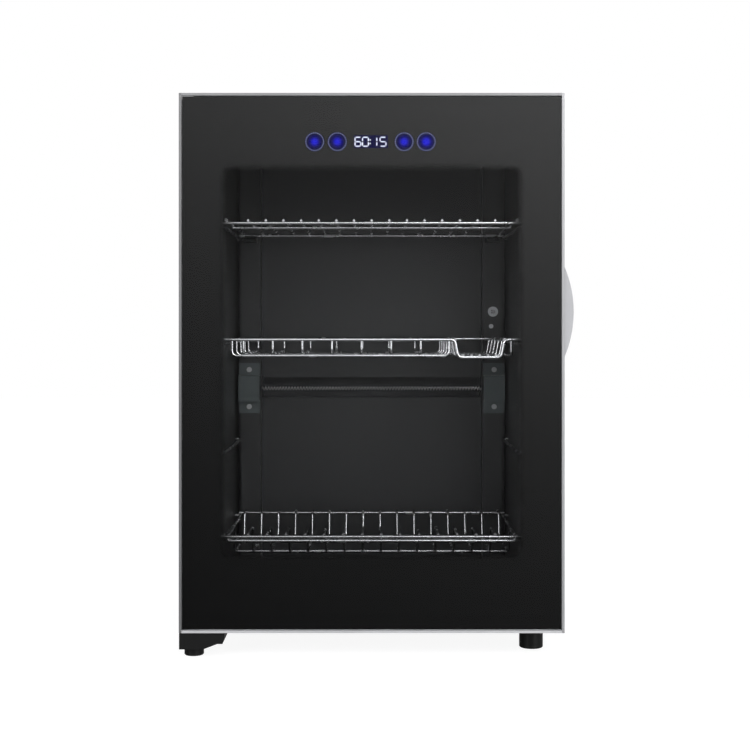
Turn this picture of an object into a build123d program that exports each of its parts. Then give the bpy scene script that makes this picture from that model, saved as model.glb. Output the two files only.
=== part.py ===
# Counter-top dish sterilizer cabinet: a glass door on the left-hand hinge, wire racks on
# side runners and a quartz heater across the back of the cavity.
# Millimetres, +Z up, the door faces -Y. Inside the functions X is measured from the middle of
# the cabinet, Y from the front of the door backwards and Z from the floor; place() then moves
# every piece so that the origin is the bottom centre of the whole object.
from build123d import *
import os
from math import cos, pi, sin

os.makedirs("parts", exist_ok=True)

# Door and body
door_width = 450.0
door_height = 630.0
door_bottom = 30.0
door_thickness = 30.0
gasket_gap = 4.0
body_side_inset = 1.0
body_end_inset = 2.0
sheet = 1.2
flange_width = 14.0
flange_relief = 20.0
seat_gap = 0.3
fit_gap = 0.05

# Cavity
wall_space = 38.0
floor_space = 18.0
ceiling_space = 38.0
cavity_depth = 281.0
rear_space = 63.0
liner_sheet = 1.0

# Door frame, panes and seal
frame_wall = 3.0
frame_ledge = 8.0
ledge_thickness = 2.0
glass_setback = 0.5
glass_thickness = 4.0
bond_gap = 0.05
film_thickness = 0.4
window_side_border = 47.0
window_bottom_border = 85.0
window_top_border = 82.0
window_corner = 14.0
inner_pane_side_margin = 12.0
inner_pane_end_margin = 8.0
inner_pane_thickness = 3.0
panel_thickness = 2.0
pane_overlap = 5.0
gasket_width = 9.0
gasket_side_margin = 15.0
gasket_end_margin = 4.0

# Controls
control_drop = 56.3
key_places = (-66.7, -40.2, 38.0, 63.8)
key_diameter = 23.0
key_core_diameter = 11.0
key_groove_diameter = 19.0
key_groove_depth = 1.0
display_place = -1.0
display_width = 40.0
display_height = 15.0
display_depth = 7.0
board_width = 190.0
board_height = 42.0
board_collar_gap = 2.5
board_thickness = 1.6
board_depth = 16.0
board_peg_diameter = 6.0
board_peg_inset = 6.0

# Handle
handle_rise = 374.8
handle_length = 105.6
handle_reach = 10.8
handle_front = 1.5
handle_depth = 24.0
handle_wall = 2.5

# Hinge
hinge_inset = 10.0
hinge_depth = 14.0
pin_diameter = 7.0
bush_wall = 2.0
bush_length = 12.0
hinge_block_length = 16.0
hinge_block_width = 20.0
bracket_plate = 3.0
hinge_arm_width = 11.0
hinge_clearance = 0.8
hinge_tail_depth = 46.0
hinge_tail_width = 32.0

# Lower hinge block, measured in the front view
boss_width = 28.0
boss_bottom = 10.5
boss_front = 2.0
arm_reach = 53.0
arm_end_bottom = 21.8
arm_chamfer_width = 2.3
arm_flat_bottom = 16.8
arm_flat_width = 6.1
lower_tail_depth = 60.0
lower_tail_width = 44.0

# Feet
corner_foot_diameter = 23.0
corner_foot_inset = 15.0
corner_foot_depth = 24.0
corner_foot_height = 9.0
foot_diameter = 28.6
foot_inset = 32.0
foot_setback = 29.0
rear_foot_margin = 50.0
foot_pad_height = 20.0
pad_chamfer = 1.0
stud_diameter = 8.0
stud_rise = 12.0
weld_nut_diameter = 16.0
weld_nut_height = 8.0

# Wire goods
bar_wire = 4.0
cross_wire = 3.0
rail_wire = 3.4
weld_sink = 0.4
rack_setback = 16.0
rack_channel_gap = 15.0
rack_wall_gap = 5.7
runner_wall_gap = 7.5
runner_setback = 12.0
runner_channel_gap = 9.0
runner_joggle = 16.0
runner_tip_gap = 2.3
runner_tip_rise = 11.0
runner_wall_bite = 3.5
runner_bend = 3.2

upper_rack_height = 512.0
upper_rack_wall_gap = 11.0
upper_rack_wires = 15
upper_rack_pitch = 21.2
upper_rack_middle_setback = 77.0

basket_height = 371.8
basket_floor = 352.5
basket_wall_gap = 18.0
basket_wires = 7
basket_wire_pitch = 35.6
basket_first_gap = 13.4
basket_corner = 6.0
basket_bar_count = 5

trough_end_gap = 8.0
trough_divider_gap = 7.0
trough_width = 60.0
trough_floor = 350.6
trough_slope = 4.0
trough_wires = 5
trough_bar_count = 5
trough_front_gap = 28.0
trough_back_gap = 8.0

spare_runner_height = 235.0

lower_rack_height = 134.8
lower_rack_wires = 16
lower_rack_pitch = 22.85
lower_bar_drop = 4.8
ledge_length = 63.0
rear_ledge_length = 18.0
dip_floor = 106.0
dip_slope = 8.0
dip_bend = 6.0
dip_bar_front_gap = 28.0
dip_bar_back_gap = 26.0
lower_rack_wall_gap = 14.0

tray_wall_gap = 10.0
tray_setback = 8.0
tray_channel_gap = 5.0
tray_height = 13.5
tray_wall = 1.0
tray_lip = 5.0

# Rear channels and what they carry
channel_width = 26.4
channel_wall_gap = 7.0
channel_depth = 30.0
clip_width = 18.0
clip_height = 6.0
clip_reach = 23.0
outlet_wall_gap = 19.5
outlet_height = 409.0
outlet_diameter = 13.8
outlet_stub_diameter = 9.0
outlet_bore = 6.0
outlet_flange = 2.5
sensor_wall_gap = 22.0
sensor_height = 389.0
sensor_diameter = 6.0
sensor_head = 1.5
sensor_stub_diameter = 4.0
generator_size = (44.0, 22.0, 34.0)

# Heater
heater_height = 304.0
heater_slot_height = 28.0
tube_diameter = 10.0
tube_wall = 1.0
tube_wall_gap = 14.0
cap_diameter = 12.0
cap_length = 24.0
cap_wall_gap = 5.0
cap_lead_diameter = 4.0
strap_width = 28.5
strap_wall_gap = 4.2
strap_height = 68.7
strap_rise_height = 36.0
strap_reach = 14.0
strap_sheet = 1.2
strap_screw_wall_gap = 18.0
strap_screw_spread = 25.4
coil_diameter = 6.0
coil_wire = 0.9
coil_turns = 75
coil_wall_gap = 36.0
reflector_depth = 20.0
reflector_sheet = 1.0

# Rear chamber
power_board_wall_gap = 36.0
power_board_width = 110.0
power_board_bottom = 120.0
power_board_height = 120.0
power_board_stand = 18.0
power_board_peg = 8.0
power_part_inset = 15.0
relay_size = (28.0, 16.0, 15.0)
relay_drop = 50.0
choke_diameter = 26.0
choke_length = 14.0
terminal_depth = 12.0
cutout_diameter = 16.0
cutout_heater_gap = 36.0
cutout_depth = 9.0
gland_inset = 44.0
gland_rise = 43.0
gland_body_diameter = 16.0
gland_flange_diameter = 22.0
gland_dome_diameter = 14.0
gland_flange = 3.0
gland_reach = 8.0
gland_bore = 8.0
gland_nut_thickness = 5.0
rear_screw_count = 4
rear_screw_margin = 38.0
screw_head_height = 2.0
screw_head_diameter = 7.0
screw_diameter = 4.0
screw_length = 8.0
screw_slot = 1.0
screw_slot_depth = 0.8
vent_rows = 9
vent_pitch = 9.0
vent_length = 70.0
vent_height = 3.0
vent_centres = (-110.0, 110.0)
vent_drop = 138.0
insulation_gap = 5.0
insulation_margin = 8.0
switch_inset = 34.0
switch_drop = 15.0
switch_size = (20.0, 6.0, 8.0)
magnet_size = (18.0, 4.0, 6.0)

# Values that follow from the ones above
body_half = door_width / 2 - body_side_inset
body_bottom = door_bottom + body_end_inset
body_top = door_bottom + door_height - body_end_inset
body_front = door_thickness + gasket_gap
cavity_back = body_front + cavity_depth
body_back = cavity_back + rear_space
door_half = door_width / 2
door_top = door_bottom + door_height
cavity_half = body_half - wall_space
liner_front = body_front + sheet
glass_half = door_half - frame_wall - seat_gap
glass_back = glass_setback + glass_thickness
bond_front = glass_back + bond_gap
film_back = bond_front + film_thickness
panel_front = door_thickness - panel_thickness
collar_rim = seat_gap + panel_thickness
hinge_x = -door_half + hinge_inset
switch_height = door_top - switch_drop
bush_diameter = pin_diameter + 2 * fit_gap + 2 * bush_wall
upper_bracket_bottom = body_top - sheet - bracket_plate
recess_bottom = upper_bracket_bottom - hinge_clearance
lower_bracket_top = door_bottom - hinge_clearance
cavity_floor = body_bottom + floor_space
cavity_ceiling = body_top - ceiling_space
window_half_width = door_half - window_side_border
pane_half = window_half_width + inner_pane_side_margin
window_bottom = door_bottom + window_bottom_border
pane_bottom = window_bottom - inner_pane_end_margin
window_top = door_top - window_top_border
pane_top = window_top + inner_pane_end_margin
board_bottom = pane_top + collar_rim + board_collar_gap
control_height = door_top - control_drop
handle_height = door_bottom + handle_rise
foot_depth = body_front + foot_setback
rack_front = body_front + rack_setback
rack_reach = cavity_half - rack_wall_gap
runner_place = cavity_half - runner_wall_gap
runner_front = body_front + runner_setback
runner_tip_place = cavity_half - runner_tip_gap
upper_rack_half_width = cavity_half - upper_rack_wall_gap
upper_rack_middle = rack_front + upper_rack_middle_setback
basket_half_width = cavity_half - basket_wall_gap
basket_first_wire = basket_first_gap - basket_half_width
trough_right = basket_half_width - trough_end_gap
trough_left = trough_right - trough_width
dip_front = rack_front + ledge_length
lower_rack_half_width = cavity_half - lower_rack_wall_gap
tray_half_width = cavity_half - tray_wall_gap
tray_front = body_front + tray_setback
channel_outer = cavity_half - channel_wall_gap
channel_inner = channel_outer - channel_width
channel_front = cavity_back - channel_depth
tube_depth = channel_front - (strap_reach - strap_sheet) / 2
rack_rear = channel_front - rack_channel_gap
runner_back = channel_front - runner_channel_gap
dip_back = rack_rear - rear_ledge_length
tray_back = channel_front - tray_channel_gap
outlet_place = cavity_half - outlet_wall_gap
sensor_place = cavity_half - sensor_wall_gap
tube_half_length = cavity_half - tube_wall_gap
cap_outer = cavity_half - cap_wall_gap
cap_inner = cap_outer - cap_length
strap_outer = cavity_half - strap_wall_gap
strap_inner = strap_outer - strap_width
strap_screw_place = cavity_half - strap_screw_wall_gap
coil_half_length = cavity_half - coil_wall_gap
power_board_left = power_board_wall_gap - cavity_half
cutout_height = heater_height + cutout_heater_gap
gland_place = gland_inset - body_half
gland_height = body_bottom + gland_rise
vent_bottom = body_top - vent_drop
switch_place = body_half - switch_inset


def block(x, y, z):
    """A box between the two ends given along each axis."""
    centre = ((x[0] + x[1]) / 2, (y[0] + y[1]) / 2, (z[0] + z[1]) / 2)
    return Pos(*centre) * Box(x[1] - x[0], y[1] - y[0], z[1] - z[0])


def rod(start, end, diameter):
    """A round rod from one point to another."""
    axis = Vector(*end) - Vector(*start)
    along = (Align.CENTER, Align.CENTER, Align.MIN)
    return Plane(origin=start, z_dir=axis) * Cylinder(diameter / 2, axis.length, align=along)


def bent_wire(points, diameter, bend):
    """One wire through the points, with every corner bent to the same radius."""
    path = FilletPolyline(*points, radius=bend)
    start = Plane(origin=path @ 0, z_dir=path % 0)
    return sweep(start * Circle(diameter / 2), path=path)


def welded(pieces):
    """Wires or sheets joined into one piece."""
    return Part() + pieces


def spread(low, high, count):
    """Evenly spaced places from low to high."""
    return [low + (high - low) * index / (count - 1) for index in range(count)]


def mirrored(shape):
    """The same piece for the other side of the cabinet."""
    return mirror(shape, about=Plane.YZ)


def both_sides(shape):
    """The right-hand piece together with its left-hand twin."""
    return [shape, mirrored(shape)]


def screw(seat, inward, length):
    """A cross-head screw whose head stands on the seat and whose shank runs inward."""
    seat_plane = Plane(origin=seat, z_dir=inward)
    along = (Align.CENTER, Align.CENTER, Align.MIN)
    back = (Align.CENTER, Align.CENTER, Align.MAX)
    head = Cylinder(screw_head_diameter / 2, screw_head_height, align=back)
    shank = Cylinder(screw_diameter / 2, length, align=along)
    slot_long = screw_head_diameter - 3 * screw_slot
    slot_floor = Pos(0, 0, -screw_head_height + screw_slot_depth)
    slot_one = slot_floor * Box(slot_long, screw_slot, screw_slot_depth, align=back)
    slot_two = slot_floor * Box(screw_slot, slot_long, screw_slot_depth, align=back)
    return seat_plane * (head + shank - slot_one - slot_two)


def screw_hole(seat, inward, length):
    """The clearance hole that a screw's shank passes through."""
    start = Vector(*seat)
    end = start + Vector(*inward).normalized() * length
    return rod(tuple(start), tuple(end), screw_diameter + 2 * fit_gap)


# Outer body -----------------------------------------------------------------------------------

def rear_screw_seats():
    place = body_half - sheet - flange_width / 2
    rows = spread(body_bottom + rear_screw_margin, body_top - rear_screw_margin, rear_screw_count)
    return [(side * place, body_back, height) for side in (-1, 1) for height in rows]


def rear_screw_holes():
    return [screw_hole(seat, (0, -1, 0), screw_length) for seat in rear_screw_seats()]


def side_panel():
    """Right side sheet with a folded flange that takes the rear cover's screws."""
    upright = (body_bottom + sheet, body_top - sheet)
    wall = block((body_half - sheet, body_half), (liner_front, body_back - sheet), upright)
    flange = block(
        (body_half - sheet - flange_width, body_half - sheet),
        (body_back - 2 * sheet, body_back - sheet),
        (upright[0] + flange_relief, upright[1] - flange_relief),
    )
    return wall + flange - rear_screw_holes()


def upper_hinge_seats():
    low = liner_front + hinge_tail_depth / 3
    high = liner_front + hinge_tail_depth * 5 / 6
    return [(hinge_x, depth, upper_bracket_bottom) for depth in (low, high)]


def lower_hinge_seats():
    left = -body_half + lower_tail_width / 4
    right = -body_half + lower_tail_width * 3 / 4
    near = body_front + lower_tail_depth / 3
    far = body_front + lower_tail_depth * 4 / 5
    places = ((left, far), (right, near), (right, far))
    return [(x, depth, body_bottom - bracket_plate) for x, depth in places]


def hinge_screw_holes():
    seats = upper_hinge_seats() + lower_hinge_seats()
    return [screw_hole(seat, (0, 0, 1), screw_length) for seat in seats]


def top_cover():
    """Flat lid sheet with a rear flange behind the rear cover."""
    lid = block((-body_half, body_half), (liner_front, body_back - sheet), (body_top - sheet, body_top))
    flange = block(
        (-body_half + flange_relief, body_half - flange_relief),
        (body_back - 2 * sheet, body_back - sheet),
        (body_top - sheet - flange_width, body_top - sheet),
    )
    return lid + flange - hinge_screw_holes()


def base_pan():
    """Bottom sheet with a rear flange and the weld nut of the right front foot."""
    pan = block((-body_half, body_half), (liner_front, body_back - sheet), (body_bottom, body_bottom + sheet))
    flange = block(
        (-body_half + flange_relief, body_half - flange_relief),
        (body_back - 2 * sheet, body_back - sheet),
        (body_bottom + sheet, body_bottom + sheet + flange_width),
    )
    foot_x = door_half - foot_inset
    nut_top = body_bottom + sheet + weld_nut_height
    nut = rod((foot_x, foot_depth, body_bottom + sheet), (foot_x, foot_depth, nut_top), weld_nut_diameter)
    thread_size = stud_diameter + 2 * fit_gap
    thread = rod((foot_x, foot_depth, body_bottom), (foot_x, foot_depth, nut_top), thread_size)
    return pan + flange + nut - thread - hinge_screw_holes()


def rear_cover():
    """Back sheet with two groups of vent slots and the hole of the cord gland."""
    cover = block((-body_half, body_half), (body_back - sheet, body_back), (body_bottom, body_top))
    slots = []
    for centre in vent_centres:
        for row in range(vent_rows):
            low = vent_bottom + row * vent_pitch
            reach = (centre - vent_length / 2, centre + vent_length / 2)
            slots.append(block(reach, (body_back - 2 * sheet, body_back + sheet), (low, low + vent_height)))
    gland_hole = rod(
        (gland_place, body_back - 2 * sheet, gland_height),
        (gland_place, body_back + sheet, gland_height),
        gland_body_diameter + 2 * fit_gap,
    )
    return cover - slots - gland_hole - rear_screw_holes()


def rear_cover_screws():
    return Compound([screw(seat, (0, -1, 0), screw_length).solid() for seat in rear_screw_seats()])


def face_frame():
    """Front ring that joins the liner to the shell; the door seal lands on it."""
    plate = block((-body_half, body_half), (body_front, liner_front), (body_bottom, body_top))
    mouth = block(
        (-cavity_half, cavity_half),
        (body_front - sheet, liner_front + sheet),
        (cavity_floor, cavity_ceiling),
    )
    hinge_notch = block(
        (hinge_x - hinge_arm_width / 2 - seat_gap, hinge_x + hinge_arm_width / 2 + seat_gap),
        (body_front - sheet, liner_front + sheet),
        (upper_bracket_bottom - seat_gap, body_top),
    )
    return plate - mouth - hinge_notch


def insulation_pad():
    """Right-hand heat pad between the liner and the side sheet."""
    return block(
        (cavity_half + liner_sheet + insulation_gap, body_half - sheet - seat_gap),
        (liner_front + weld_nut_diameter * 3, body_back - insulation_margin),
        (body_bottom + sheet + insulation_margin * 2, body_top - sheet - insulation_margin),
    )


# Liner ----------------------------------------------------------------------------------------

def liner_wall():
    """Right cavity wall with the holes that the runner wires hook into."""
    wall = block(
        (cavity_half, cavity_half + liner_sheet),
        (liner_front, cavity_back + liner_sheet),
        (cavity_floor, cavity_ceiling),
    )
    holes = []
    for height in runner_heights():
        for depth, rise in ((runner_back, 0), (runner_front, runner_tip_rise)):
            start = (cavity_half - liner_sheet, depth, height + rise)
            end = (cavity_half + 2 * liner_sheet, depth, height + rise)
            holes.append(rod(start, end, bar_wire + 2 * fit_gap))
    return wall - holes


def liner_ceiling():
    return block(
        (-cavity_half - liner_sheet, cavity_half + liner_sheet),
        (liner_front, cavity_back + liner_sheet),
        (cavity_ceiling, cavity_ceiling + liner_sheet),
    )


def liner_floor():
    return block(
        (-cavity_half - liner_sheet, cavity_half + liner_sheet),
        (liner_front, cavity_back + liner_sheet),
        (cavity_floor - liner_sheet, cavity_floor),
    )


def liner_back(low, high):
    """Back panel between two heights, with the hole for the ozone outlet's stub."""
    panel = block((-cavity_half, cavity_half), (cavity_back, cavity_back + liner_sheet), (low, high))
    start = (outlet_place, cavity_back - liner_sheet, outlet_height)
    end = (outlet_place, cavity_back + 2 * liner_sheet, outlet_height)
    return panel - rod(start, end, outlet_stub_diameter + 2 * fit_gap)


def rear_channel():
    """Right-hand strip on the back wall; it hides wiring and carries the heater strap."""
    face = block(
        (channel_inner, channel_outer),
        (channel_front, channel_front + sheet),
        (cavity_floor, cavity_ceiling),
    )
    returns = [
        block((edge, edge + sheet), (channel_front, cavity_back), (cavity_floor, cavity_ceiling))
        for edge in (channel_inner, channel_outer - sheet)
    ]
    lead = rod(
        ((cap_inner + cap_outer) / 2, channel_front - sheet, heater_height),
        ((cap_inner + cap_outer) / 2, channel_front + 2 * sheet, heater_height),
        cap_lead_diameter + 2 * fit_gap,
    )
    holes = [screw_hole(seat, (0, 1, 0), screw_length) for seat in strap_screw_seats()]
    return face + returns - lead - holes


def right_channel():
    """The right strip also has the holes of the ozone outlet and the sensor."""
    outlet = rod(
        (outlet_place, channel_front - sheet, outlet_height),
        (outlet_place, channel_front + 2 * sheet, outlet_height),
        outlet_stub_diameter + 2 * fit_gap,
    )
    sensor = rod(
        (sensor_place, channel_front - sheet, sensor_height),
        (sensor_place, channel_front + 2 * sheet, sensor_height),
        sensor_stub_diameter + 2 * fit_gap,
    )
    return rear_channel() - outlet - sensor


def rack_clip():
    """Small shelf on the strip, under the upper rack's rear bar."""
    middle = (channel_inner + channel_outer) / 2
    top = upper_rack_height - bar_wire / 2 - seat_gap
    return block(
        (middle - clip_width / 2, middle + clip_width / 2),
        (channel_front - clip_reach, channel_front),
        (top - clip_height, top),
    )


def ozone_outlet():
    flange = rod(
        (outlet_place, channel_front - outlet_flange, outlet_height),
        (outlet_place, channel_front, outlet_height),
        outlet_diameter,
    )
    stub = rod(
        (outlet_place, channel_front, outlet_height),
        (outlet_place, cavity_back + liner_sheet, outlet_height),
        outlet_stub_diameter,
    )
    bore = rod(
        (outlet_place, channel_front - outlet_flange, outlet_height),
        (outlet_place, cavity_back + liner_sheet, outlet_height),
        outlet_bore,
    )
    cross = [
        block(
            (outlet_place - outlet_bore / 2 - half_x, outlet_place + outlet_bore / 2 + half_x),
            (channel_front - outlet_flange, channel_front),
            (outlet_height - half_z, outlet_height + half_z),
        )
        for half_x, half_z in ((0.0, sheet / 2), (sheet / 2 - outlet_bore / 2, outlet_bore / 2))
    ]
    return (flange + stub - bore) + cross


def ozone_generator():
    width, depth, height = generator_size
    return block(
        (outlet_place - width / 2 - sheet, outlet_place + width / 2 - sheet),
        (cavity_back + liner_sheet, cavity_back + liner_sheet + depth),
        (outlet_height - height / 2, outlet_height + height / 2),
    )


def temperature_sensor():
    head = rod(
        (sensor_place, channel_front - sensor_head, sensor_height),
        (sensor_place, channel_front, sensor_height),
        sensor_diameter,
    )
    stub = rod(
        (sensor_place, channel_front, sensor_height),
        (sensor_place, channel_front + 3 * sheet, sensor_height),
        sensor_stub_diameter,
    )
    return head + stub


# Heater ---------------------------------------------------------------------------------------

def strap_screw_seats():
    seat_depth = channel_front - strap_sheet
    return [
        (strap_screw_place, seat_depth, heater_height + side * strap_screw_spread)
        for side in (-1, 1)
    ]


def heater_strap():
    """Right-hand strap: flat tabs on the strip and a raised middle over the tube's end."""
    half = strap_height / 2
    rise = strap_rise_height / 2
    back = channel_front
    tabs = block(
        (strap_inner, strap_outer),
        (back - strap_sheet, back),
        (heater_height - half, heater_height + half),
    )
    raised = block(
        (strap_inner, strap_outer),
        (back - strap_reach, back),
        (heater_height - rise, heater_height + rise),
    )
    hollow = block(
        (strap_inner - sheet, strap_outer + sheet),
        (back - strap_reach + strap_sheet, back + sheet),
        (heater_height - rise + strap_sheet, heater_height + rise - strap_sheet),
    )
    holes = [screw_hole(seat, (0, 1, 0), screw_length) for seat in strap_screw_seats()]
    return tabs + raised - hollow - holes


def heater_screws():
    right = [screw(seat, (0, 1, 0), screw_length) for seat in strap_screw_seats()]
    return Compound([shape.solid() for piece in right for shape in both_sides(piece)])


def quartz_tube():
    ends = ((-tube_half_length, tube_depth, heater_height), (tube_half_length, tube_depth, heater_height))
    return rod(*ends, tube_diameter) - rod(*ends, tube_diameter - 2 * tube_wall)


def heater_cap():
    """Right-hand ceramic cap on the tube's end, with the lead that runs into the strip."""
    bore = tube_diameter + 2 * fit_gap
    cap = rod((cap_inner, tube_depth, heater_height), (cap_outer, tube_depth, heater_height), cap_diameter)
    socket = rod(
        (cap_inner, tube_depth, heater_height),
        (tube_half_length + seat_gap, tube_depth, heater_height),
        bore,
    )
    lead_x = (cap_inner + cap_outer) / 2
    lead = rod(
        (lead_x, tube_depth + bore / 2, heater_height),
        (lead_x, channel_front + 4 * sheet, heater_height),
        cap_lead_diameter,
    )
    return cap - socket + lead


def biarc(start, start_way, end, end_way):
    """Two arcs that leave one point and reach the other along the given directions."""
    chord = end - start
    ways = start_way + end_way
    cross = 2 * (1 - start_way.dot(end_way))
    reach = chord.dot(ways)
    length = (-reach + (reach**2 + cross * chord.dot(chord)) ** 0.5) / cross
    near = start + start_way * length
    far = end - end_way * length
    middle = (near + far) * 0.5
    first = TangentArc(start, middle, tangent=start_way)
    second = TangentArc(middle, end, tangent=far - near)
    return [first, second]


def coil_point(angle):
    radius = (coil_diameter - coil_wire) / 2
    along = -coil_half_length + 2 * coil_half_length * angle / (2 * pi * coil_turns)
    return Vector(along, tube_depth + radius * cos(angle), heater_height + radius * sin(angle))


def coil_way(angle):
    radius = (coil_diameter - coil_wire) / 2
    climb = coil_half_length / (pi * coil_turns)
    return Vector(climb, -radius * sin(angle), radius * cos(angle)).normalized()


def heater_coil():
    """The resistance wire, one unbroken helix with straight tails into the caps."""
    arcs = []
    for half_turn in range(2 * coil_turns):
        begin = pi * half_turn
        end = begin + pi
        arcs += biarc(coil_point(begin), coil_way(begin), coil_point(end), coil_way(end))
    path = Wire(arcs)
    start = Plane(origin=coil_point(0), z_dir=coil_way(0))
    return sweep(start * Circle(coil_wire / 2), path=path)


def print_coil_gap():
    """Least distance from one point of the wire to the turns beside it, less the wire."""
    steps = 96
    start = coil_point(0)
    others = [coil_point(pi + 2 * pi * step / steps) for step in range(steps)]
    least = min((other - start).length for other in others)
    print(f"heater coil: {coil_turns} turns, least gap to itself {least - coil_wire:.2f} mm")


def heater_reflector():
    """Tray behind the slot of the back wall that throws the heat forward."""
    half = heater_slot_height / 2
    back = cavity_back + liner_sheet
    outer = block(
        (-channel_inner, channel_inner),
        (back, back + reflector_depth),
        (heater_height - half - reflector_sheet, heater_height + half + reflector_sheet),
    )
    inner = block(
        (-channel_inner + reflector_sheet, channel_inner - reflector_sheet),
        (back, back + reflector_depth - reflector_sheet),
        (heater_height - half, heater_height + half),
    )
    return outer - inner


# Rear chamber ---------------------------------------------------------------------------------

def power_board():
    """Board on four pegs behind the lower back panel, with its relay, choke and terminals."""
    back = cavity_back + liner_sheet
    face = back + power_board_stand
    right = power_board_left + power_board_width
    top = power_board_bottom + power_board_height
    board = block((power_board_left, right), (face, face + board_thickness), (power_board_bottom, top))
    pegs = [
        rod((x, back, z), (x, face, z), power_board_peg)
        for x in (power_board_left + power_board_peg, right - power_board_peg)
        for z in (power_board_bottom + power_board_peg, top - power_board_peg)
    ]
    top_face = face + board_thickness
    relay_left = power_board_left + power_part_inset
    relay_low = top - relay_drop
    relay = block(
        (relay_left, relay_left + relay_size[0]),
        (top_face, top_face + relay_size[1]),
        (relay_low, relay_low + relay_size[2]),
    )
    choke_x = right - power_part_inset - choke_diameter / 2
    choke_z = top - power_part_inset - choke_diameter / 2
    choke = rod((choke_x, top_face, choke_z), (choke_x, top_face + choke_length, choke_z), choke_diameter)
    terminals = block(
        (power_board_left + power_part_inset, right - power_part_inset),
        (top_face, top_face + terminal_depth),
        (power_board_bottom + power_part_inset, power_board_bottom + power_part_inset + terminal_depth),
    )
    return welded([board, *pegs, relay, choke, terminals])


def thermal_cutout():
    back = cavity_back + liner_sheet
    return rod((0, back, cutout_height), (0, back + cutout_depth, cutout_height), cutout_diameter)


def cord_gland():
    """Gland in the rear cover: flange outside, nut inside, one bore for the cord."""
    nut_end = body_back - sheet - gland_nut_thickness

    def turned(start, end, diameter):
        return rod((gland_place, start, gland_height), (gland_place, end, gland_height), diameter)

    outside = turned(body_back, body_back + gland_flange, gland_flange_diameter)
    dome = turned(body_back, body_back + gland_reach, gland_dome_diameter)
    body = turned(nut_end, body_back, gland_body_diameter)
    nut = turned(nut_end, body_back - sheet, gland_flange_diameter)
    bore = turned(nut_end, body_back + gland_reach, gland_bore)
    return outside + dome + body + nut - bore


def door_switch():
    """Sealed reed switch behind the face frame, opposite the door's magnet."""
    width, depth, height = switch_size
    return block(
        (switch_place - width / 2, switch_place + width / 2),
        (liner_front, liner_front + depth),
        (switch_height - height / 2, switch_height + height / 2),
    )


# Hinges and feet ------------------------------------------------------------------------------

def upper_hinge_bracket():
    """Flat arm under the top cover that reaches over a recess in the door's top."""
    arm = block(
        (hinge_x - hinge_arm_width / 2, hinge_x + hinge_arm_width / 2),
        (hinge_depth, liner_front),
        (upper_bracket_bottom, upper_bracket_bottom + bracket_plate),
    )
    nose = rod(
        (hinge_x, hinge_depth, upper_bracket_bottom),
        (hinge_x, hinge_depth, upper_bracket_bottom + bracket_plate),
        hinge_arm_width,
    )
    tail = block(
        (-body_half + sheet + seat_gap, -body_half + sheet + seat_gap + hinge_tail_width),
        (liner_front, liner_front + hinge_tail_depth),
        (upper_bracket_bottom, upper_bracket_bottom + bracket_plate),
    )
    bore = rod(
        (hinge_x, hinge_depth, upper_bracket_bottom),
        (hinge_x, hinge_depth, upper_bracket_bottom + bracket_plate),
        pin_diameter,
    )
    return arm + nose + tail - bore - hinge_screw_holes()


def lower_hinge_bracket():
    """Moulded block under the door's corner, bolted under the base pan; the foot screws in."""
    left = -door_half
    points = [
        (left, lower_bracket_top),
        (left, boss_bottom),
        (left + boss_width, boss_bottom),
        (left + arm_reach - arm_chamfer_width - arm_flat_width, arm_flat_bottom),
        (left + arm_reach - arm_chamfer_width, arm_flat_bottom),
        (left + arm_reach, arm_end_bottom),
        (left + arm_reach, lower_bracket_top),
    ]
    outline = Plane.XZ * make_face(Polyline(*points, close=True))
    front = Pos(0, boss_front, 0) * extrude(outline, -(body_front - boss_front))
    tail = block(
        (-body_half, -body_half + lower_tail_width),
        (body_front, body_front + lower_tail_depth),
        (body_bottom - bracket_plate, body_bottom),
    )
    web = block(
        (-body_half, -body_half + lower_tail_width),
        (body_front - bracket_plate, body_front + bracket_plate),
        (arm_end_bottom, lower_bracket_top),
    )
    pin_foot = (hinge_x, hinge_depth, arm_flat_bottom)
    pin_hole = rod(pin_foot, (hinge_x, hinge_depth, lower_bracket_top), pin_diameter)
    stud_x = -door_half + corner_foot_inset
    stud_hole = rod(
        (stud_x, corner_foot_depth, boss_bottom),
        (stud_x, corner_foot_depth, boss_bottom + stud_rise + seat_gap),
        stud_diameter + 2 * fit_gap,
    )
    return front + tail + web - pin_hole - stud_hole - hinge_screw_holes()


def hinge_pins():
    upper_top = upper_bracket_bottom + bracket_plate
    upper_low = recess_bottom - bush_length
    lower_high = door_bottom + bush_length
    upper = rod((hinge_x, hinge_depth, upper_low), (hinge_x, hinge_depth, upper_top), pin_diameter)
    lower = rod((hinge_x, hinge_depth, arm_flat_bottom), (hinge_x, hinge_depth, lower_high), pin_diameter)
    return Compound([upper.solid(), lower.solid()])


def hinge_screws():
    seats = upper_hinge_seats() + lower_hinge_seats()
    length = bracket_plate + sheet
    return Compound([screw(seat, (0, 0, 1), length).solid() for seat in seats])


def hinge_bushes():
    """Plastic sleeves in the door's corner blocks, in which the pins turn."""
    bushes = []
    for low in (door_bottom, recess_bottom - bush_length):
        sleeve = rod((hinge_x, hinge_depth, low), (hinge_x, hinge_depth, low + bush_length), bush_diameter)
        bore = rod(
            (hinge_x, hinge_depth, low),
            (hinge_x, hinge_depth, low + bush_length),
            pin_diameter + 2 * fit_gap,
        )
        bushes.append((sleeve - bore).solid())
    return Compound(bushes)


def levelling_foot(x, depth, diameter, pad_height, thread_top):
    """Round pad with a threaded stud."""
    pad = rod((x, depth, 0), (x, depth, pad_height), diameter)
    rim = pad.edges().filter_by(GeomType.CIRCLE).sort_by(Axis.Z)[0]
    stud = rod((x, depth, pad_height), (x, depth, thread_top), stud_diameter)
    return chamfer(rim, pad_chamfer) + stud


def foot_front_left():
    x = -door_half + corner_foot_inset
    top = boss_bottom + stud_rise
    return levelling_foot(x, corner_foot_depth, corner_foot_diameter, corner_foot_height, top)


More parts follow.
